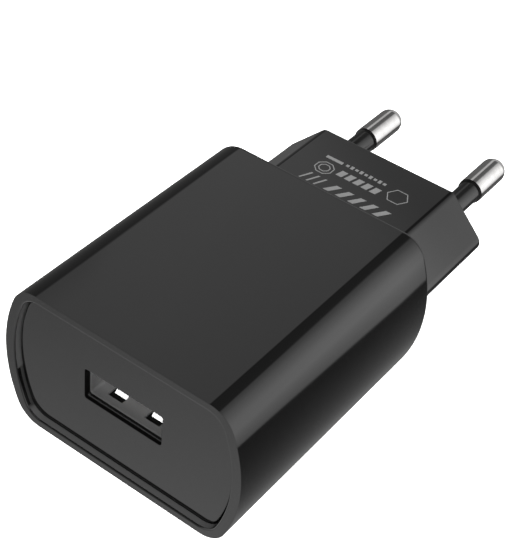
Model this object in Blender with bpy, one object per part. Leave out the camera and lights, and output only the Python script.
"""USB wall charger with a two-pin European plug.

Frame: the origin is the centre of the plug's engagement face, midway between the two
pins. +Y runs along the pins, away from the case, X is the width and +Z is up. The case
lies along -Y, with the USB-A opening in its far end.
"""

import math

import bmesh
import bpy
from mathutils import Vector

MM = 0.001
GAP = 0.05 * MM  # between pieces that touch or press together on the real object

# Case: a tube with bulging sides, carrying the plug nose in one moulding
CASE_HALF_WIDTH = 19.0 * MM
CASE_HALF_HEIGHT = 11.6 * MM
CASE_CORNER = 4.1 * MM
CASE_BULGE = 24.0 * MM
CASE_LENGTH = 42.0 * MM
CASE_FRONT_EDGE = 0.15 * MM
CASE_REAR_EDGE = 0.8 * MM
BORE_HALF_WIDTH = 17.5 * MM
BORE_HALF_HEIGHT = 10.4 * MM
BORE_CORNER = 3.0 * MM
BORE_BULGE = 23.0 * MM
REAR_WALL = 1.6 * MM
CORNER_STEPS = 5
SIDE_STEPS = 8

# Plug nose: six-sided, with sides slanting at 45 degrees
NOSE_LENGTH = 18.0 * MM
NOSE_HALF_WIDTH = 17.65 * MM
NOSE_HALF_HEIGHT = 6.45 * MM
NOSE_TOP_HALF_WIDTH = 11.3 * MM
NOSE_SIDE_ROUND = 1.6 * MM
NOSE_TOP_ROUND = 1.2 * MM
NOSE_LEAST_ROUND = 0.3 * MM
NOSE_FACE_EDGE = 0.35 * MM
NOSE_WALL = 1.8 * MM
NOSE_FACE_WALL = 2.4 * MM

# Pins: 4 mm round and 19 mm apart
PIN_SPACING = 19.0 * MM
PIN_LENGTH = 18.5 * MM
PIN_RADIUS = 2.0 * MM
PIN_CORE_RADIUS = 1.4 * MM
PIN_TAIL = 12.0 * MM
PIN_FLANGE_RADIUS = 2.3 * MM
PIN_FLANGE = 0.6 * MM
PIN_TAIL_EDGE = 0.2 * MM
SLEEVE_RADIUS = 1.7 * MM
SLEEVE_LENGTH = 9.8 * MM
SLEEVE_LIP_RADIUS = 1.95 * MM
SLEEVE_LIP = 0.35 * MM
SLEEVE_SEAT = 2.0 * MM
BOSS_RADIUS = 3.6 * MM
BOSS_END = 8.0 * MM
ROUND_STEPS = 24

# Front cover: set back inside the case's rim and held by four snap lugs
COVER_RECESS = 0.85 * MM
COVER_HALF_WIDTH = 17.2 * MM
COVER_HALF_HEIGHT = 10.0 * MM
COVER_CORNER = 2.7 * MM
COVER_BULGE = 22.8 * MM
COVER_PLATE = 1.5 * MM
COVER_SKIRT_WALL = 1.0 * MM
COVER_DEPTH = 7.0 * MM
COVER_EDGE = 0.15 * MM
LUG_X = 8.0 * MM
LUG_WIDTH = 5.0 * MM
LUG_LENGTH = 1.2 * MM
LUG_HEIGHT = 0.75 * MM
LUG_BACK = 5.4 * MM  # from the cover's front to the middle of a lug
POCKET_DEPTH = 0.5 * MM
POCKET_SLACK = 0.2 * MM
TOOL_LAP = 0.4 * MM  # how far a helper reaches into what it cuts or joins

# USB-A receptacle
PORT_Z = 0.95 * MM
PORT_HALF_WIDTH = 6.25 * MM
PORT_HALF_HEIGHT = 2.56 * MM
PORT_CORNER = 0.35 * MM
PORT_LIP = 0.75 * MM
SHEET = 0.3 * MM
SHELL_LENGTH = 14.3 * MM
SHELL_FLARE = 0.22 * MM
FLARE_LENGTH = 0.5 * MM
SEAT_SLACK = 0.15 * MM  # between the flared mouth and its seat in the cover
SPRING_X = 3.03 * MM
WINDOW_LEFT = 1.42 * MM  # from a spring's middle to its window's edges
WINDOW_RIGHT = 1.0 * MM
WINDOW_STEP = 1.45 * MM  # from the shell's mouth to its windows
WINDOW_LENGTH = 5.85 * MM
SPRING_WIDTH = 1.7 * MM
SPRING_SHEET = 0.25 * MM
SPRING_REACH = 4.93 * MM
SPRING_CREST = 0.425 * MM
SPRING_SHAPE = (  # share of the reach from the root, share of the crest
    (0.02, 0.0), (0.22, 0.03), (0.66, 0.78), (0.78, 0.98), (0.86, 1.0), (0.93, 0.70), (1.0, -0.15)
)
TONGUE_HALF_WIDTH = 5.55 * MM
TONGUE_THICKNESS = 1.84 * MM
TONGUE_UNDERSIDE = PORT_Z + 0.06 * MM
TONGUE_LENGTH = 9.6 * MM
BLOCK_LENGTH = 2.9 * MM
GROOVE_DEPTH = 0.9 * MM
GROOVE_START = 0.6 * MM  # from the tongue's tip
GROOVE_WIDTH = 1.3 * MM
CONTACT_X = (-3.5 * MM, -1.0 * MM, 1.0 * MM, 3.5 * MM)
CONTACT_WIDTH = 0.9 * MM
CONTACT_SHEET = 0.2 * MM
CONTACT_REACH = 8.3 * MM
CONTACT_STEP = 0.3 * MM  # from the block's front to the bending line
CONTACT_CREST = 0.75 * MM
CONTACT_SHAPE = (  # share of the reach from the root, share of the crest
    (0.01, 0.0), (0.18, 0.10), (0.58, 0.78), (0.73, 1.0), (0.83, 1.0), (0.92, 0.68), (1.0, 0.27)
)
CONTACT_RISE = 0.35 * MM  # from the tongue's underside to the contacts' bending line
TAIL_WIDTH = 0.6 * MM
LEG_WIDTH = 1.5 * MM
LEG_STEP = 3.6 * MM  # from the shell's mouth to its front legs
LEG_STEP_BACK = 3.4 * MM
TAIL_BEND = 0.25 * MM
TAIL_STEP = 0.4 * MM  # from the shell's back to the tails' drop
TONGUE_EDGE = 0.25 * MM
BLOCK_SLACK = 0.1 * MM  # between the receptacle's block and its shell

# Circuit board
BOARD_HALF_WIDTH = 15.5 * MM
BOARD_TOP = -2.55 * MM
BOARD_THICKNESS = 1.2 * MM
BOARD_LENGTH = 36.3 * MM
BOARD_STEP = 1.0 * MM  # from the case's rear wall to the board
RAIL_HEIGHT = 1.1 * MM
RAIL_INNER = 14.5 * MM
RAIL_SLACK = 0.1 * MM
LEAD_WIDTH = 0.3 * MM
LEAD_HOLE_RADIUS = 0.5 * MM
LEAD_STICKOUT = 1.2 * MM  # below the board
SLOT_SLACK = 0.25 * MM
SEAT_Z = BOARD_TOP + GAP  # underside of parts that stand on the board

# Capacitor cans: radius, height and lead spacing, then each one's place on the board
OUTPUT_CAN = (3.15 * MM, 9.0 * MM, 2.5 * MM)
INPUT_CAN = (4.0 * MM, 11.0 * MM, 3.5 * MM)
CANS = {
    "output_capacitor_1": (-11.2 * MM, -49.6 * MM, OUTPUT_CAN),
    "output_capacitor_2": (11.2 * MM, -49.6 * MM, OUTPUT_CAN),
    "input_capacitor_1": (-10.2 * MM, -28.2 * MM, INPUT_CAN),
    "input_capacitor_2": (10.2 * MM, -28.2 * MM, INPUT_CAN),
}
CAN_STEPS = 20
CAN_TOP_ROUND = 0.5 * MM
CAN_FOOT_ROUND = 0.25 * MM
CAN_GROOVE_HEIGHT = 1.5 * MM
CAN_GROOVE_DEPTH = 0.35 * MM

# Transformer: half sizes along X, Y and Z about its middle
TRANSFORMER_Y = -36.6 * MM
TRANSFORMER_Z = 3.7 * MM
TRANSFORMER_PIN_X = 4.2 * MM
TRANSFORMER_PIN_Y = 4.5 * MM
CORE_HALF_SIZE = (6.6 * MM, 3.0 * MM, 5.3 * MM)
CORE_WINDOW_HALF_SIZE = (4.7 * MM, 3.0 * MM, 1.3 * MM)
CORE_WINDOW_RISE = 2.6 * MM
BOBBIN_HALF_SIZE = (4.5 * MM, 3.7 * MM, 2.0 * MM)
BOBBIN_HOLE_HALF_LENGTH = 3.15 * MM
BOBBIN_HOLE_HALF_HEIGHT = 1.45 * MM
BOBBIN_FOOT_INNER = 3.3 * MM
BOBBIN_FOOT_LAP = 0.7 * MM
FLANGE_INNER = 3.9 * MM
FLANGE_HALF_LENGTH = 5.6 * MM
FLANGE_HALF_HEIGHT = 3.7 * MM
WINDING_HALF_SIZE = (3.75 * MM, 5.3 * MM, 3.55 * MM)
WINDING_ROUND = 1.2 * MM

# Choke: a wound drum
CHOKE_Y = -26.9 * MM
CHOKE_HEIGHT = 7.0 * MM
CHOKE_RADIUS = 2.8 * MM
CHOKE_NECK_RADIUS = 1.4 * MM
CHOKE_COIL_RADIUS = 2.5 * MM
CHOKE_FLANGE = 1.0 * MM
CHOKE_PITCH = 2.0 * MM

# Optocoupler, disc capacitor and fusible resistor
CHIP_PITCH = 2.54 * MM
OPTOCOUPLER_PLACE = (-10.5 * MM, -39.5 * MM)
OPTOCOUPLER_HALF_SIZE = (3.2 * MM, 2.3 * MM, 1.55 * MM)
OPTOCOUPLER_STANDOFF = 0.5 * MM
OPTOCOUPLER_LEAD_X = 3.6 * MM
SHOULDER_WIDTH = 0.6 * MM
SHOULDER_LAP = 0.4 * MM
DISC_PLACE = (11.4 * MM, -39.5 * MM)
DISC_RADIUS = 3.5 * MM
DISC_HALF_THICKNESS = 1.4 * MM
DISC_ROUND = 0.55 * MM
DISC_STANDOFF = 0.5 * MM
DISC_PITCH = 5.0 * MM
RESISTOR_Y = -22.3 * MM
RESISTOR_RISE = 2.0 * MM
RESISTOR_HALF_LENGTH = 4.0 * MM
RESISTOR_RADIUS = 1.35 * MM
RESISTOR_END_RADIUS = 1.6 * MM
RESISTOR_CAP = 1.5 * MM
RESISTOR_ROUND = 0.45 * MM
RESISTOR_PITCH = 11.2 * MM

# Parts soldered under the board: place, half sizes and the feet's offsets along X
CHIP_GAP = 0.15 * MM
CHIP_FOOT_LAP = 0.2 * MM
CHIP_FOOT_REACH = 0.9 * MM
CHIP_FOOT_WIDTH = 0.4 * MM
CHIP_FEET = tuple(step * CHIP_PITCH / 2 for step in (-1.5, -0.5, 0.5, 1.5))
SURFACE_CHIPS = {
    "bridge_rectifier": ((-9.0 * MM, -34.5 * MM), (2.35 * MM, 2.0 * MM, 1.2 * MM), (-1.3 * MM, 1.3 * MM)),
    "controller_ic": ((8.0 * MM, -34.5 * MM), (2.45 * MM, 1.95 * MM, 0.75 * MM), CHIP_FEET),
    "output_diode": ((0.0, -50.5 * MM), (1.8 * MM, 2.2 * MM, 1.15 * MM), (0.0,)),
}

# Sprung blades from the board to the pins' tails
BLADE_FOOT_Y = -22.6 * MM
BLADE_SHEET = 0.3 * MM
BLADE_WIDTH = 2.6 * MM

# Places along Y that follow from the sizes above
CASE_BACK = -NOSE_LENGTH
CASE_FRONT = CASE_BACK - CASE_LENGTH
COVER_FRONT = CASE_FRONT + COVER_RECESS
COVER_BACK_FACE = COVER_FRONT + COVER_PLATE
SHELL_FRONT = COVER_FRONT + PORT_LIP + 2 * GAP
SHELL_BACK = SHELL_FRONT + SHELL_LENGTH
WINDOW_FRONT = SHELL_FRONT + WINDOW_STEP
WINDOW_BACK = WINDOW_FRONT + WINDOW_LENGTH
SPRING_ROOT = WINDOW_BACK - 2 * GAP
BLOCK_BACK = SHELL_BACK - BLOCK_SLACK
BLOCK_FRONT = BLOCK_BACK - BLOCK_LENGTH
TONGUE_FRONT = BLOCK_FRONT - TONGUE_LENGTH
CONTACT_ROOT = BLOCK_FRONT - CONTACT_STEP
TAIL_DROP = SHELL_BACK + TAIL_STEP
BOARD_BACK = CASE_BACK - REAR_WALL - BOARD_STEP
BOARD_FRONT = BOARD_BACK - BOARD_LENGTH
BOARD_BOTTOM = BOARD_TOP - BOARD_THICKNESS
LEAD_END = BOARD_BOTTOM - LEAD_STICKOUT
SHELL_FLOOR = PORT_Z - PORT_HALF_HEIGHT
SHELL_CEILING = PORT_Z + PORT_HALF_HEIGHT

# Colour, roughness and metallic value of each finish
FINISHES = {
    "black gloss": ((0.016, 0.016, 0.017), 0.12, 0.0),
    "black satin": ((0.020, 0.020, 0.021), 0.35, 0.0),
    "nickel": ((0.72, 0.72, 0.72), 0.10, 1.0),
    "steel": ((0.60, 0.60, 0.60), 0.25, 1.0),
    "bronze": ((0.80, 0.58, 0.32), 0.28, 1.0),
    "board green": ((0.04, 0.22, 0.10), 0.45, 0.0),
    "can sleeve": ((0.03, 0.06, 0.16), 0.35, 0.0),
    "ferrite": ((0.07, 0.07, 0.075), 0.70, 0.0),
    "winding tape": ((0.75, 0.58, 0.10), 0.40, 0.0),
    "copper wire": ((0.72, 0.32, 0.14), 0.30, 1.0),
    "chip black": ((0.03, 0.03, 0.03), 0.55, 0.0),
    "ceramic blue": ((0.08, 0.22, 0.50), 0.35, 0.0),
    "resistor green": ((0.12, 0.34, 0.26), 0.50, 0.0),
}


def clear_scene():
    for obj in list(bpy.data.objects):
        bpy.data.objects.remove(obj, do_unlink=True)


def finish_material(name, finish):
    """A Principled material of its own for one piece."""
    colour, roughness, metallic = FINISHES[finish]
    material = bpy.data.materials.new(name)
    material.use_nodes = True
    shader = material.node_tree.nodes["Principled BSDF"]
    shader.inputs["Base Color"].default_value = (*colour, 1.0)
    shader.inputs["Roughness"].default_value = roughness
    shader.inputs["Metallic"].default_value = metallic
    return material


def new_object(name, bm, origin=(0.0, 0.0, 0.0)):
    """Makes an object of a bmesh that is given in the part's frame, with its origin at a point."""
    bmesh.ops.remove_doubles(bm, verts=bm.verts, dist=1e-8)
    bmesh.ops.recalc_face_normals(bm, faces=bm.faces)
    bmesh.ops.translate(bm, verts=bm.verts, vec=-Vector(origin))
    mesh = bpy.data.meshes.new(name)
    bm.to_mesh(mesh)
    bm.free()
    mesh.shade_smooth()
    mesh.set_sharp_from_angle(angle=math.radians(35))
    obj = bpy.data.objects.new(name, mesh)
    obj.location = origin
    bpy.context.scene.collection.objects.link(obj)
    return obj


def piece(obj, finish):
    obj.data.materials.append(finish_material(obj.name, finish))
    return obj


def combine(obj, tool, operation):
    """Cuts a helper from a piece, or joins it on, and hides the helper."""
    modifier = obj.modifiers.new(operation.lower() + "_" + tool.name, "BOOLEAN")
    modifier.operation = operation
    modifier.solver = "EXACT"
    modifier.object = tool
    tool.hide_render = True
    tool.display_type = "WIRE"
    return obj


def cut(obj, tool):
    return combine(obj, tool, "DIFFERENCE")


def join(obj, tool):
    return combine(obj, tool, "UNION")


def arc(centre, radius, start, end, steps):
    """Points of an arc, angles in radians, both ends included."""
    points = []
    for i in range(steps + 1):
        angle = start + (end - start) * i / steps
        points.append((centre[0] + radius * math.cos(angle), centre[1] + radius * math.sin(angle)))
    return points


def bulged_outline(half_width, half_height, corner, bulge):
    """Flat top and bottom, arched sides and round corners, as (x, z) points in order."""
    side_x = half_width - bulge
    corner_z = half_height - corner
    corner_x = side_x + math.sqrt((bulge - corner) ** 2 - corner_z**2)
    meet = math.atan2(corner_z, corner_x - side_x)
    right = arc((side_x, 0.0), bulge, -meet, meet, SIDE_STEPS)
    top_right = arc((corner_x, corner_z), corner, meet, math.pi / 2, CORNER_STEPS)
    bottom_right = [(x, -z) for x, z in reversed(top_right)]
    half = bottom_right[:-1] + right + top_right[1:]
    return half + [(-x, -z) for x, z in half]


def rounded_polygon(corners, radii, steps):
    """A convex polygon with each corner turned into an arc, as points in the corners' order."""
    points = []
    count = len(corners)
    for i, radius in enumerate(radii):
        here = Vector(corners[i])
        back = (Vector(corners[i - 1]) - here).normalized()
        ahead = (Vector(corners[(i + 1) % count]) - here).normalized()
        half_angle = back.angle(ahead) / 2
        centre = here + (back + ahead).normalized() * radius / math.sin(half_angle)
        first = here + back * radius / math.tan(half_angle) - centre
        last = here + ahead * radius / math.tan(half_angle) - centre
        turn = first.angle_signed(last)
        start = math.atan2(first.y, first.x)
        points += arc(centre, radius, start, start - turn, steps)
    return points


def rounded_rectangle(half_width, half_height, radius, steps=3):
    corners = [
        (half_width, -half_height),
        (half_width, half_height),
        (-half_width, half_height),
        (-half_width, -half_height),
    ]
    return rounded_polygon(corners, [radius] * 4, steps)


def lofted(name, sections):
    """A closed solid through (y, outline) sections, each outline the same number of (x, z) points."""
    bm = bmesh.new()
    rings = []
    for y, outline in sections:
        rings.append([bm.verts.new((x, y, z)) for x, z in outline])
    for near, far in zip(rings, rings[1:]):
        count = len(near)
        for i in range(count):
            after = (i + 1) % count
            bm.faces.new((near[i], near[after], far[after], far[i]))
    bm.faces.new(rings[0])
    bm.faces.new(rings[-1])
    return new_object(name, bm)


def add_turned(bm, profile, centre, steps):
    rings = []
    for radius, y in profile:
        ring = []
        for i in range(steps if radius else 1):
            angle = 2 * math.pi * i / steps
            x = centre[0] + radius * math.cos(angle)
            z = centre[1] + radius * math.sin(angle)
            ring.append(bm.verts.new((x, y, z)))
        rings.append(ring)
    for near, far in zip(rings, rings[1:]):
        for i in range(steps):
            after = (i + 1) % steps
            corners = [near[i % len(near)], near[after % len(near)]]
            corners += [far[after % len(far)], far[i % len(far)]]
            bm.faces.new(list(dict.fromkeys(corners)))


def turned(name, profile, *centres, steps=ROUND_STEPS):
    """Solids turned about lines along Y, from (radius, y) points whose ends lie on the line."""
    bm = bmesh.new()
    for centre in centres or ((0.0, 0.0),):
        add_turned(bm, profile, centre, steps)
    return new_object(name, bm)


def upright(name, profile, centre, steps=16):
    """A solid turned about a vertical line, from (radius, z) points."""
    obj = turned(name, profile, steps=steps)
    for vertex in obj.data.vertices:
        x, along, z = vertex.co
        vertex.co = (x, -z, along)
    obj.location = (centre[0], centre[1], 0.0)
    return obj


def add_box(bm, low, high):
    made = bmesh.ops.create_cube(bm, size=1.0)["verts"]
    size = Vector(high) - Vector(low)
    bmesh.ops.scale(bm, verts=made, vec=size)
    bmesh.ops.translate(bm, verts=made, vec=(Vector(high) + Vector(low)) / 2)


def boxes(name, spans):
    """Boxes given by their low and high corners, in one object; they don't touch each other."""
    bm = bmesh.new()
    for low, high in spans:
        add_box(bm, low, high)
    return new_object(name, bm)


def box(name, low, high):
    return boxes(name, [(low, high)])


def centred_box(name, centre, half_size):
    return box(name, Vector(centre) - Vector(half_size), Vector(centre) + Vector(half_size))


def strip(name, path, sheet, x, width, origin=(0.0, 0.0, 0.0)):
    """A strip of bent sheet: its middle line as (y, z) points, its thickness and its width along X."""
    line = [Vector(point) for point in path]
    above, below = [], []
    for i, point in enumerate(line):
        into = (point - line[i - 1]).normalized() if i else None
        out = (line[i + 1] - point).normalized() if i + 1 < len(line) else None
        along = ((into or out) + (out or into)).normalized()
        normal = Vector((-along.y, along.x))
        reach = sheet / 2 / max(0.5, normal.dot(Vector((-(out or into).y, (out or into).x))))
        above.append(point + normal * reach)
        below.append(point - normal * reach)
    bm = bmesh.new()
    sides = []
    for offset in (-width / 2, width / 2):
        sides.append([bm.verts.new((x + offset, y, z)) for y, z in above + below[::-1]])
    count = len(sides[0])
    for i in range(count):
        after = (i + 1) % count
        bm.faces.new((sides[0][i], sides[0][after], sides[1][after], sides[1][i]))
    for start in range(len(line) - 1):
        for side in sides:
            opposite = count - 1 - start
            bm.faces.new((side[start], side[start + 1], side[opposite - 1], side[opposite]))
    return new_object(name, bm, origin)


def edge_rounding(radius, steps):
    """(inset, distance from the end) pairs that round an edge over, from the end face inwards."""
    pairs = []
    for i in range(steps + 1):
        angle = math.pi / 2 * i / steps
        pairs.append((radius * (1 - math.sin(angle)), radius * (1 - math.cos(angle))))
    return pairs


def case_outline(inset):
    return bulged_outline(
        CASE_HALF_WIDTH - inset, CASE_HALF_HEIGHT - inset, CASE_CORNER - inset, CASE_BULGE - inset
    )


def cover_outline(inset):
    return bulged_outline(
        COVER_HALF_WIDTH - inset, COVER_HALF_HEIGHT - inset, COVER_CORNER - inset, COVER_BULGE - inset
    )


def nose_outline(inset):
    """Six sides: flat top and bottom, and a blunt ridge along each flank."""
    half_width = NOSE_HALF_WIDTH - inset * math.sqrt(2)
    half_height = NOSE_HALF_HEIGHT - inset
    top_half_width = NOSE_TOP_HALF_WIDTH - inset * math.tan(math.pi / 8)
    corners = [
        (half_width, 0.0),
        (top_half_width, half_height),
        (-top_half_width, half_height),
        (-half_width, 0.0),
        (-top_half_width, -half_height),
        (top_half_width, -half_height),
    ]
    side = max(NOSE_SIDE_ROUND - inset, NOSE_LEAST_ROUND)
    top = max(NOSE_TOP_ROUND - inset, NOSE_LEAST_ROUND)
    return rounded_polygon(corners, [side, top, top, side, top, top], 4)


def case_body():
    front = [(CASE_FRONT + back, case_outline(inset)) for inset, back in edge_rounding(CASE_FRONT_EDGE, 2)]
    rear = [(CASE_BACK - back, case_outline(inset)) for inset, back in edge_rounding(CASE_REAR_EDGE, 3)]
    return lofted("main_housing", front + rear[::-1])


def plug_nose():
    face = [(-back, nose_outline(inset)) for inset, back in edge_rounding(NOSE_FACE_EDGE, 2)]
    return lofted("nose_block", [(CASE_BACK - REAR_WALL / 2, nose_outline(0.0))] + face[::-1])


def case_bore():
    outline = bulged_outline(BORE_HALF_WIDTH, BORE_HALF_HEIGHT, BORE_CORNER, BORE_BULGE)
    return lofted("case_bore", [(CASE_FRONT - MM, outline), (CASE_BACK - REAR_WALL, outline)])


def nose_bore():
    outline = nose_outline(NOSE_WALL)
    return lofted("nose_bore", [(CASE_BACK - REAR_WALL - MM, outline), (-NOSE_FACE_WALL, outline)])


def pin_places():
    return [(side * PIN_SPACING / 2, 0.0) for side in (-1, 1)]


def pin_bosses():
    profile = [(0.0, -BOSS_END), (BOSS_RADIUS, -BOSS_END), (BOSS_RADIUS, -NOSE_FACE_WALL / 2)]
    return turned("pin_bosses", profile + [(0.0, -NOSE_FACE_WALL / 2)], *pin_places())


def pin_holes():
    core = PIN_CORE_RADIUS + GAP
    seat = SLEEVE_RADIUS + GAP
    profile = [(0.0, -BOSS_END - MM), (core, -BOSS_END - MM), (core, -SLEEVE_SEAT - GAP)]
    profile += [(seat, -SLEEVE_SEAT - GAP), (seat, MM), (0.0, MM)]
    return turned("pin_holes", profile, *pin_places())


def board_rails(side):
    """Two ribs on a side wall that hold the board's edge between them."""
    front, back = COVER_FRONT + COVER_DEPTH + MM, CASE_BACK - REAR_WALL + MM / 2
    spans = []
    for z in (BOARD_TOP + RAIL_SLACK, BOARD_BOTTOM - RAIL_SLACK - RAIL_HEIGHT):
        ends = sorted((side * RAIL_INNER, side * (BORE_HALF_WIDTH + TOOL_LAP)))
        spans.append(((ends[0], front, z), (ends[1], back, z + RAIL_HEIGHT)))
    return boxes("rails_left" if side < 0 else "rails_right", spans)


def lug_places():
    return [(x * LUG_X, z) for x in (-1, 1) for z in (-1, 1)]


def lug_pockets():
    """Blind pockets in the case's top and bottom walls that the cover's lugs snap into."""
    middle = COVER_FRONT + LUG_BACK
    spans = []
    for x, side in lug_places():
        ends = sorted((side * (BORE_HALF_HEIGHT - TOOL_LAP), side * (BORE_HALF_HEIGHT + POCKET_DEPTH)))
        half_width, half_length = LUG_WIDTH / 2 + POCKET_SLACK, LUG_LENGTH / 2 + POCKET_SLACK
        low = (x - half_width, middle - half_length, ends[0])
        spans.append((low, (x + half_width, middle + half_length, ends[1])))
    return boxes("lug_pockets", spans)


def main_housing():
    case = case_body()
    join(case, plug_nose())
    cut(case, case_bore())
    cut(case, nose_bore())
    join(case, pin_bosses())
    for side in (-1, 1):
        join(case, board_rails(side))
    cut(case, lug_pockets())
    cut(case, pin_holes())
    return piece(case, "black gloss")


def port_section(grow):
    outline = rounded_rectangle(PORT_HALF_WIDTH + grow, PORT_HALF_HEIGHT + grow, PORT_CORNER + grow)
    return [(x, z + PORT_Z) for x, z in outline]


def port_opening(name, grow, front, back):
    return lofted(name, [(front, port_section(grow)), (back, port_section(grow))])


def cover_lugs():
    middle = COVER_FRONT + LUG_BACK
    spans = []
    for x, side in lug_places():
        ends = sorted((side * (COVER_HALF_HEIGHT - TOOL_LAP), side * (COVER_HALF_HEIGHT + LUG_HEIGHT)))
        low = (x - LUG_WIDTH / 2, middle - LUG_LENGTH / 2, ends[0])
        spans.append((low, (x + LUG_WIDTH / 2, middle + LUG_LENGTH / 2, ends[1])))
    return boxes("cover_lugs", spans)


def front_cover():
    edge = [(COVER_FRONT + back, cover_outline(inset)) for inset, back in edge_rounding(COVER_EDGE, 1)]
    cover = lofted("front_cover", edge + [(COVER_FRONT + COVER_DEPTH, cover_outline(0.0))])
    hollow = cover_outline(COVER_SKIRT_WALL)
    far = COVER_FRONT + COVER_DEPTH + MM
    cut(cover, lofted("cover_hollow", [(COVER_BACK_FACE, hollow), (far, hollow)]))
    join(cover, cover_lugs())
    cut(cover, port_opening("port_hole", 0.0, COVER_FRONT - MM, COVER_BACK_FACE + MM))
    seat = SHEET + SHELL_FLARE + SEAT_SLACK
    cut(cover, port_opening("port_seat", seat, COVER_FRONT + PORT_LIP, COVER_BACK_FACE + MM))
    return piece(cover, "black gloss")


def plug_pin(name, x):
    """A pin with a domed tip, a thinner core under its sleeve and a flange behind the boss."""
    core, shoulder = PIN_CORE_RADIUS, SLEEVE_LENGTH + GAP
    flange = -BOSS_END - GAP
    profile = [(0.0, -PIN_TAIL), (core - PIN_TAIL_EDGE, -PIN_TAIL), (core, -PIN_TAIL + PIN_TAIL_EDGE)]
    profile += [(core, flange - PIN_FLANGE), (PIN_FLANGE_RADIUS, flange - PIN_FLANGE)]
    profile += [(PIN_FLANGE_RADIUS, flange), (core, flange)]
    profile += [(core, shoulder), (PIN_RADIUS - GAP, shoulder), (PIN_RADIUS, shoulder + GAP)]
    dome = arc((0.0, PIN_LENGTH - PIN_RADIUS), PIN_RADIUS, 0.0, math.pi / 2, 6)
    profile += dome[:-1] + [(0.0, PIN_LENGTH)]
    return piece(turned(name, profile, (x, 0.0)), "nickel")


def pin_sleeve(name, x):
    """An insulating tube over the pin's core, with a lip against the bare metal."""
    inner = PIN_CORE_RADIUS + GAP
    lip = SLEEVE_LENGTH - SLEEVE_LIP
    outside = [(SLEEVE_RADIUS, -SLEEVE_SEAT), (SLEEVE_RADIUS, lip), (SLEEVE_LIP_RADIUS, lip)]
    outside.append((SLEEVE_LIP_RADIUS, SLEEVE_LENGTH))
    profile = [(0.0, -SLEEVE_SEAT)] + outside + [(0.0, SLEEVE_LENGTH)]
    sleeve = turned(name, profile, (x, 0.0))
    hole = [(0.0, -SLEEVE_SEAT - MM), (inner, -SLEEVE_SEAT - MM), (inner, SLEEVE_LENGTH + MM)]
    cut(sleeve, turned(name + "_hole", hole + [(0.0, SLEEVE_LENGTH + MM)], (x, 0.0)))
    return piece(sleeve, "black satin")


def shell_tube(name, grow, front, back):
    """The shell's tube shape, flared at the mouth."""
    sections = [(front, port_section(grow + SHELL_FLARE))]
    sections.append((SHELL_FRONT + FLARE_LENGTH / 2, port_section(grow + SHELL_FLARE / 4)))
    sections.append((SHELL_FRONT + FLARE_LENGTH, port_section(grow)))
    return lofted(name, sections + [(back, port_section(grow))])


def shell_windows():
    spans = []
    for x in (-SPRING_X, SPRING_X):
        for z in (SHELL_FLOOR, SHELL_CEILING):
            low = (x - WINDOW_LEFT, WINDOW_FRONT, z - 2 * SHEET)
            spans.append((low, (x + WINDOW_RIGHT, WINDOW_BACK, z + 2 * SHEET)))
    return boxes("shell_windows", spans)


def leg_places():
    """Side and front edge of each of the shell's four solder legs."""
    fronts = (SHELL_FRONT + LEG_STEP, SHELL_BACK - LEG_STEP_BACK)
    return [(side, front) for side in (-1, 1) for front in fronts]


def shell_legs():
    spans = []
    for side, front in leg_places():
        ends = sorted((side * PORT_HALF_WIDTH, side * (PORT_HALF_WIDTH + SHEET)))
        top = PORT_Z - PORT_HALF_HEIGHT / 2
        spans.append(((ends[0], front, LEAD_END), (ends[1], front + LEG_WIDTH, top)))
    return boxes("shell_legs", spans)


def usb_shell():
    shell = shell_tube("usb_shell", SHEET, SHELL_FRONT, SHELL_BACK)
    join(shell, shell_legs())
    cut(shell, shell_tube("shell_inside", 0.0, SHELL_FRONT - GAP, SHELL_BACK + MM))
    cut(shell, shell_windows())
    return piece(shell, "steel")


def shell_spring(name, x, side):
    """A sprung tongue in one of the shell's windows, rooted at the back and arched into the port.

    side is -1 in the floor and 1 in the ceiling. The origin is on its bending line.
    """
    middle = PORT_Z + side * (PORT_HALF_HEIGHT + SHEET / 2)
    path = []
    for along, rise in SPRING_SHAPE:
        path.append((SPRING_ROOT - along * SPRING_REACH, middle - side * rise * SPRING_CREST))
    obj = strip(name, path, SPRING_SHEET, x, SPRING_WIDTH, (x, SPRING_ROOT, middle))
    return piece(obj, "steel")


def usb_insulator():
    block_half_width = PORT_HALF_WIDTH - BLOCK_SLACK
    block_half_height = PORT_HALF_HEIGHT - BLOCK_SLACK
    block = box(
        "usb_insulator",
        (-block_half_width, BLOCK_FRONT, PORT_Z - block_half_height),
        (block_half_width, BLOCK_BACK, PORT_Z + block_half_height),
    )
    tongue = box(
        "tongue",
        (-TONGUE_HALF_WIDTH, TONGUE_FRONT, TONGUE_UNDERSIDE),
        (TONGUE_HALF_WIDTH, BLOCK_FRONT + MM, TONGUE_UNDERSIDE + TONGUE_THICKNESS),
    )
    bevel = tongue.modifiers.new("soft_edges", "BEVEL")
    bevel.width = TONGUE_EDGE
    bevel.segments = 1
    join(block, tongue)
    spans = []
    for x in CONTACT_X:
        low = (x - GROOVE_WIDTH / 2, TONGUE_FRONT + GROOVE_START, TONGUE_UNDERSIDE - GAP)
        high = (x + GROOVE_WIDTH / 2, BLOCK_BACK + MM, TONGUE_UNDERSIDE + GROOVE_DEPTH)
        spans.append((low, high))
    cut(block, boxes("contact_grooves", spans))
    return piece(block, "black satin")


def contact_line():
    """Height of the contacts' bending line and of their tails."""
    return TONGUE_UNDERSIDE + CONTACT_RISE


def usb_contact(name, x):
    """The sprung beam of one contact, arched down out of its groove; its origin is on its bending line."""
    z = contact_line()
    path = []
    for along, drop in CONTACT_SHAPE:
        path.append((CONTACT_ROOT - along * CONTACT_REACH, z - drop * CONTACT_CREST))
    obj = strip(name, path, CONTACT_SHEET, x, CONTACT_WIDTH, (x, CONTACT_ROOT, z))
    return piece(obj, "bronze")


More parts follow.
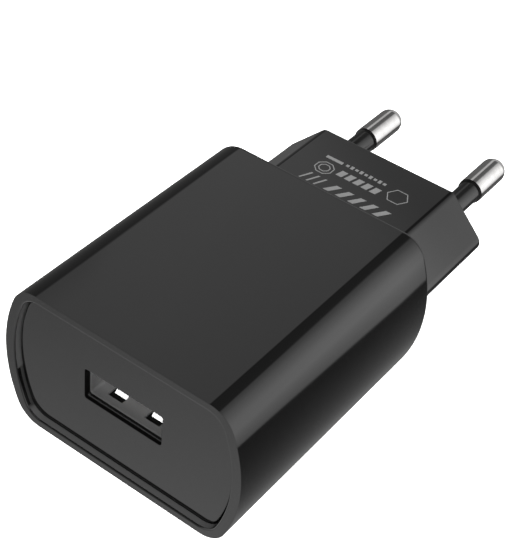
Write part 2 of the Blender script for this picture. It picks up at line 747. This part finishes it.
def usb_tail(name, x):
    z = contact_line()
    path = [(CONTACT_ROOT + 2 * GAP, z), (TAIL_DROP - TAIL_BEND, z), (TAIL_DROP, z - TAIL_BEND)]
    path.append((TAIL_DROP, LEAD_END))
    return piece(strip(name, path, CONTACT_SHEET, x, TAIL_WIDTH), "bronze")


def leads(name, places, top):
    """Square wire legs from a part's underside down through the board."""
    spans = []
    for x, y in places:
        low = (x - LEAD_WIDTH / 2, y - LEAD_WIDTH / 2, LEAD_END)
        spans.append((low, (x + LEAD_WIDTH / 2, y + LEAD_WIDTH / 2, top)))
    return boxes(name, spans)


def lead_pair(x, y, pitch):
    return [(x - pitch / 2, y), (x + pitch / 2, y)]


def corner_places(x, y, reach_x, reach_y):
    """The four corners of a rectangle round a point."""
    return [(x + side * reach_x, y + end * reach_y) for side in (-1, 1) for end in (-1, 1)]


def transformer_pins():
    return corner_places(0.0, TRANSFORMER_Y, TRANSFORMER_PIN_X, TRANSFORMER_PIN_Y)


def choke_leads():
    return lead_pair(0.0, CHOKE_Y, CHOKE_PITCH)


def optocoupler_leads():
    return corner_places(*OPTOCOUPLER_PLACE, OPTOCOUPLER_LEAD_X, CHIP_PITCH / 2)


def y_capacitor_leads():
    x, y = DISC_PLACE
    return [(x, y - DISC_PITCH / 2), (x, y + DISC_PITCH / 2)]


def resistor_leads():
    return lead_pair(0.0, RESISTOR_Y, RESISTOR_PITCH)


def electrolytic(name, x, y, radius, height, pitch):
    """A capacitor can standing on the board, with a pressed groove near its foot and a rounded top."""
    foot, top = SEAT_Z, SEAT_Z + height
    groove = foot + CAN_GROOVE_HEIGHT
    profile = [(0.0, foot), (radius - CAN_FOOT_ROUND, foot), (radius, foot + CAN_FOOT_ROUND)]
    profile += [(radius, groove - CAN_GROOVE_DEPTH), (radius - CAN_GROOVE_DEPTH, groove)]
    profile += [(radius, groove + CAN_GROOVE_DEPTH), (radius, top - CAN_TOP_ROUND)]
    profile += [(radius - CAN_TOP_ROUND, top), (0.0, top)]
    can = upright(name, profile, (x, y), CAN_STEPS)
    join(can, leads(name + "_leads", lead_pair(x, y, pitch), foot + MM))
    return piece(can, "can sleeve")


def transformer_core():
    """Ferrite with a window above and a window below its middle leg."""
    middle = (0.0, TRANSFORMER_Y, TRANSFORMER_Z)
    core = centred_box("transformer_core", middle, CORE_HALF_SIZE)
    half_width, _, half_height = CORE_WINDOW_HALF_SIZE
    through = CORE_HALF_SIZE[1] + MM
    for side, word in ((-1, "lower"), (1, "upper")):
        window_z = TRANSFORMER_Z + side * CORE_WINDOW_RISE
        tool_size = (half_width, through, half_height)
        cut(core, centred_box(f"{word}_window", (0.0, TRANSFORMER_Y, window_z), tool_size))
    return piece(core, "ferrite")


def transformer_bobbin():
    """Tube round the core's middle leg, with two flanges that stand on the board beside the core."""
    y, z = TRANSFORMER_Y, TRANSFORMER_Z
    bobbin = centred_box("transformer_bobbin", (0.0, y, z), BOBBIN_HALF_SIZE)
    outer = BOBBIN_HALF_SIZE[0]
    flanges, feet = [], []
    for side in (-1, 1):
        ends = sorted((side * FLANGE_INNER, side * outer))
        low = (ends[0], y - FLANGE_HALF_LENGTH, z - FLANGE_HALF_HEIGHT)
        flanges.append((low, (ends[1], y + FLANGE_HALF_LENGTH, z + FLANGE_HALF_HEIGHT)))
        for across in (-1, 1):
            span = sorted((y + across * BOBBIN_FOOT_INNER, y + across * (FLANGE_HALF_LENGTH - GAP)))
            foot_top = z - FLANGE_HALF_HEIGHT + BOBBIN_FOOT_LAP
            feet.append(((ends[0] + GAP, span[0], SEAT_Z), (ends[1] - GAP, span[1], foot_top)))
    join(bobbin, boxes("bobbin_flanges", flanges))
    join(bobbin, boxes("bobbin_feet", feet))
    join(bobbin, leads("bobbin_pins", transformer_pins(), SEAT_Z + MM))
    hole_size = (outer + MM, BOBBIN_HOLE_HALF_LENGTH, BOBBIN_HOLE_HALF_HEIGHT)
    cut(bobbin, centred_box("bobbin_hole", (0.0, y, z), hole_size))
    return piece(bobbin, "chip black")


def transformer_winding():
    """The taped coil round the bobbin's tube."""
    middle = (0.0, TRANSFORMER_Y, TRANSFORMER_Z)
    winding = centred_box("transformer_winding", middle, WINDING_HALF_SIZE)
    bm = bmesh.new()
    bm.from_mesh(winding.data)
    along = [edge for edge in bm.edges if abs(edge.verts[0].co.x - edge.verts[1].co.x) > MM]
    bmesh.ops.bevel(bm, geom=along, offset=WINDING_ROUND, segments=3, profile=0.5, affect="EDGES")
    bm.to_mesh(winding.data)
    bm.free()
    half_length, half_height = BOBBIN_HALF_SIZE[1] + 2 * GAP, BOBBIN_HALF_SIZE[2] + 2 * GAP
    hole_size = (WINDING_HALF_SIZE[0] + MM, half_length, half_height)
    cut(winding, centred_box("winding_hole", middle, hole_size))
    return piece(winding, "winding tape")


def choke_core():
    """A ferrite drum standing on the board."""
    foot, top = SEAT_Z, SEAT_Z + CHOKE_HEIGHT
    low, high = foot + CHOKE_FLANGE, top - CHOKE_FLANGE
    profile = [(0.0, foot), (CHOKE_RADIUS, foot), (CHOKE_RADIUS, low), (CHOKE_NECK_RADIUS, low)]
    profile += [(CHOKE_NECK_RADIUS, high), (CHOKE_RADIUS, high), (CHOKE_RADIUS, top), (0.0, top)]
    core = upright("choke_core", profile, (0.0, CHOKE_Y), CAN_STEPS)
    join(core, leads("choke_leads", choke_leads(), foot + CHOKE_FLANGE / 2))
    return piece(core, "ferrite")


def choke_winding():
    low = SEAT_Z + CHOKE_FLANGE + 2 * GAP
    high = SEAT_Z + CHOKE_HEIGHT - CHOKE_FLANGE - 2 * GAP
    inner, outer = CHOKE_NECK_RADIUS + 2 * GAP, CHOKE_COIL_RADIUS
    profile = [(0.0, low), (outer, low), (outer, high), (0.0, high)]
    coil = upright("choke_winding", profile, (0.0, CHOKE_Y), CAN_STEPS)
    hole = [(0.0, low - MM), (inner, low - MM), (inner, high + MM), (0.0, high + MM)]
    cut(coil, upright("choke_hole", hole, (0.0, CHOKE_Y), CAN_STEPS))
    return piece(coil, "copper wire")


def optocoupler():
    x, y = OPTOCOUPLER_PLACE
    low = SEAT_Z + OPTOCOUPLER_STANDOFF
    middle = low + OPTOCOUPLER_HALF_SIZE[2]
    body = centred_box("optocoupler", (x, y, middle), OPTOCOUPLER_HALF_SIZE)
    shoulders = []
    for side in (-1, 1):
        inner = x + side * (OPTOCOUPLER_HALF_SIZE[0] - SHOULDER_LAP)
        ends = sorted((inner, x + side * (OPTOCOUPLER_LEAD_X + LEAD_WIDTH / 3)))
        for end in (-1, 1):
            lead_y = y + end * CHIP_PITCH / 2
            near = (ends[0], lead_y - SHOULDER_WIDTH / 2, middle - LEAD_WIDTH / 2)
            shoulders.append((near, (ends[1], lead_y + SHOULDER_WIDTH / 2, middle + LEAD_WIDTH / 2)))
    join(body, boxes("optocoupler_shoulders", shoulders))
    join(body, leads("optocoupler_legs", optocoupler_leads(), middle))
    return piece(body, "chip black")


def y_capacitor():
    """A disc standing on its edge, facing sideways."""
    half, edge = DISC_HALF_THICKNESS, DISC_ROUND
    profile = [(0.0, -half), (DISC_RADIUS - edge, -half), (DISC_RADIUS, -half + edge)]
    profile += [(DISC_RADIUS, half - edge), (DISC_RADIUS - edge, half), (0.0, half)]
    disc = turned("y_capacitor", profile, steps=CAN_STEPS)
    disc.rotation_euler = (0.0, 0.0, math.pi / 2)
    disc.location = (*DISC_PLACE, SEAT_Z + DISC_RADIUS + DISC_STANDOFF)
    join(disc, leads("y_capacitor_legs", y_capacitor_leads(), SEAT_Z + DISC_RADIUS))
    return piece(disc, "ceramic blue")


def fusible_resistor():
    """A dog-bone resistor lying across the board, with bent leads."""
    z, end = SEAT_Z + RESISTOR_RISE, RESISTOR_HALF_LENGTH
    profile = [(0.0, -end), (RESISTOR_END_RADIUS - RESISTOR_ROUND, -end)]
    profile += [(RESISTOR_END_RADIUS, -end + RESISTOR_ROUND), (RESISTOR_END_RADIUS, -end + RESISTOR_CAP)]
    profile.append((RESISTOR_RADIUS, -end + RESISTOR_CAP + RESISTOR_ROUND))
    profile += [(radius, -along) for radius, along in reversed(profile)]
    body = turned("fusible_resistor", profile, steps=16)
    body.rotation_euler = (0.0, 0.0, math.pi / 2)
    body.location = (0.0, RESISTOR_Y, z)
    reach = RESISTOR_PITCH / 2 + LEAD_WIDTH / 2
    wire = 0.93 * LEAD_WIDTH / 2
    arm = centred_box("resistor_arms", (0.0, RESISTOR_Y, z), (reach, wire, wire))
    join(body, arm)
    join(body, leads("resistor_legs", resistor_leads(), z + wire / 2))
    return piece(body, "resistor green")


def surface_chip(name, place, half_size, feet):
    """A part soldered under the board, with flat feet on two sides; feet are x offsets."""
    x, y = place
    half_x, half_y, half_z = half_size
    middle = BOARD_BOTTOM - CHIP_GAP - half_z
    body = centred_box(name, (x, y, middle), half_size)
    spans = []
    for offset in feet:
        for side in (-1, 1):
            ends = sorted((y + side * (half_y - CHIP_FOOT_LAP), y + side * (half_y + CHIP_FOOT_REACH)))
            low = (x + offset - CHIP_FOOT_WIDTH / 2, ends[0], middle)
            high = (x + offset + CHIP_FOOT_WIDTH / 2, ends[1], BOARD_BOTTOM - GAP)
            spans.append((low, high))
    join(body, boxes(name + "_feet", spans))
    return piece(body, "chip black")


def ac_contact(name, x):
    """A sprung blade from the board's rear edge to the underside of a pin's tail."""
    touch = -PIN_CORE_RADIUS - GAP - BLADE_SHEET / 2
    foot = SEAT_Z + BLADE_SHEET / 2
    path = [
        (BLADE_FOOT_Y - 0.8 * MM, foot),
        (CASE_BACK - 2.4 * MM, foot),
        (CASE_BACK + 3.0 * MM, touch - 0.7 * MM),
        (-PIN_TAIL + 0.3 * MM, touch),
        (-PIN_TAIL + 1.5 * MM, touch),
        (-PIN_TAIL + 2.2 * MM, touch - 0.4 * MM),
    ]
    blade = strip(name, path, BLADE_SHEET, x, BLADE_WIDTH)
    join(blade, leads(name + "_tab", [(x, BLADE_FOOT_Y)], foot))
    return piece(blade, "bronze")


def lead_holes():
    """Every place where a lead passes through the board."""
    places = [(x, TAIL_DROP) for x in CONTACT_X] + transformer_pins() + choke_leads()
    places += optocoupler_leads() + y_capacitor_leads() + resistor_leads()
    places += [(x, BLADE_FOOT_Y) for x, _ in pin_places()]
    for x, y, (_, _, pitch) in CANS.values():
        places += lead_pair(x, y, pitch)
    return places


def main_pcb():
    board = box(
        "main_pcb",
        (-BOARD_HALF_WIDTH, BOARD_FRONT, BOARD_BOTTOM),
        (BOARD_HALF_WIDTH, BOARD_BACK, BOARD_TOP),
    )
    low, high = BOARD_BOTTOM - MM, BOARD_TOP + MM
    profile = [(0.0, low), (LEAD_HOLE_RADIUS, low), (LEAD_HOLE_RADIUS, high), (0.0, high)]
    for number, place in enumerate(lead_holes()):
        cut(board, upright(f"lead_hole_{number}", profile, place, 8))
    slots = []
    half_width = SHEET / 2 + SLOT_SLACK
    for side, front in leg_places():
        x = side * (PORT_HALF_WIDTH + SHEET / 2)
        slot_low = (x - half_width, front - SLOT_SLACK, low)
        slots.append((slot_low, (x + half_width, front + LEG_WIDTH + SLOT_SLACK, high)))
    cut(board, boxes("leg_slots", slots))
    return piece(board, "board green")


def plug():
    for (x, _), word in zip(pin_places(), ("left", "right")):
        plug_pin(f"pin_{word}", x)
        pin_sleeve(f"pin_sleeve_{word}", x)
        ac_contact(f"ac_contact_{word}", x)


def receptacle():
    usb_shell()
    usb_insulator()
    for side, level in ((-1, "bottom"), (1, "top")):
        for x, word in ((-SPRING_X, "left"), (SPRING_X, "right")):
            shell_spring(f"shell_spring_{level}_{word}", x, side)
    for number, x in enumerate(CONTACT_X, 1):
        usb_contact(f"usb_contact_{number}", x)
        usb_tail(f"usb_tail_{number}", x)


def electronics():
    main_pcb()
    for name, (x, y, sizes) in CANS.items():
        electrolytic(name, x, y, *sizes)
    transformer_core()
    transformer_bobbin()
    transformer_winding()
    choke_core()
    choke_winding()
    optocoupler()
    y_capacitor()
    fusible_resistor()
    for name, chip in SURFACE_CHIPS.items():
        surface_chip(name, *chip)


def main():
    clear_scene()
    main_housing()
    front_cover()
    plug()
    receptacle()
    electronics()


main()
